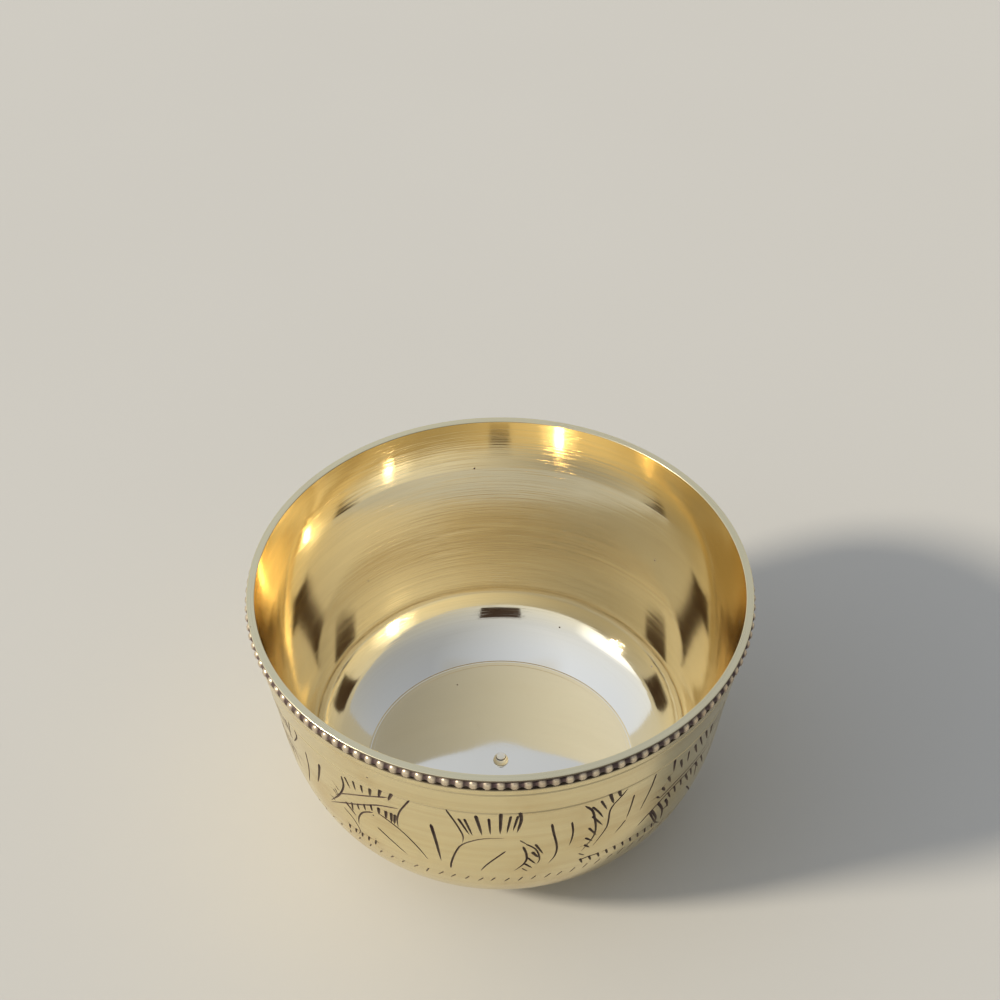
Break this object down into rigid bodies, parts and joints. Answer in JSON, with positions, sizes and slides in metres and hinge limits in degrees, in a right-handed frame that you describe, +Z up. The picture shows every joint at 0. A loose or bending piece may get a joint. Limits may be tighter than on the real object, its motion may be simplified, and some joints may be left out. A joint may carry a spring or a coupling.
{
  "type": "offering bowl",
  "caption": "Small turned brass offering bowl with a flat lip, a beaded wire under the rim, a flat creased floor and a low riveted foot; stands free and holds water, rice or flowers.",
  "frame": {"origin": "middle of the foot's standing face, on the bowl's upright axis", "axes": "+Z up along the turning axis, -Y towards the side that the picture shows in front"},
  "size_m": [0.0808, 0.0808, 0.0475],
  "materials": {
    "polished_brass": "mirror polished, fine turning lines",
    "beaded_brass": "polished crowns, dark patina between the beads",
    "foot_brass": "turned, lightly tarnished",
    "rivet_brass": "polished, worn"
  },
  "bodies": {
    "root": {"bowl_shell": "polished_brass", "beaded_wire": "beaded_brass", "foot": "foot_brass", "centre_rivet": "rivet_brass"}
  },
  "joints": []
}
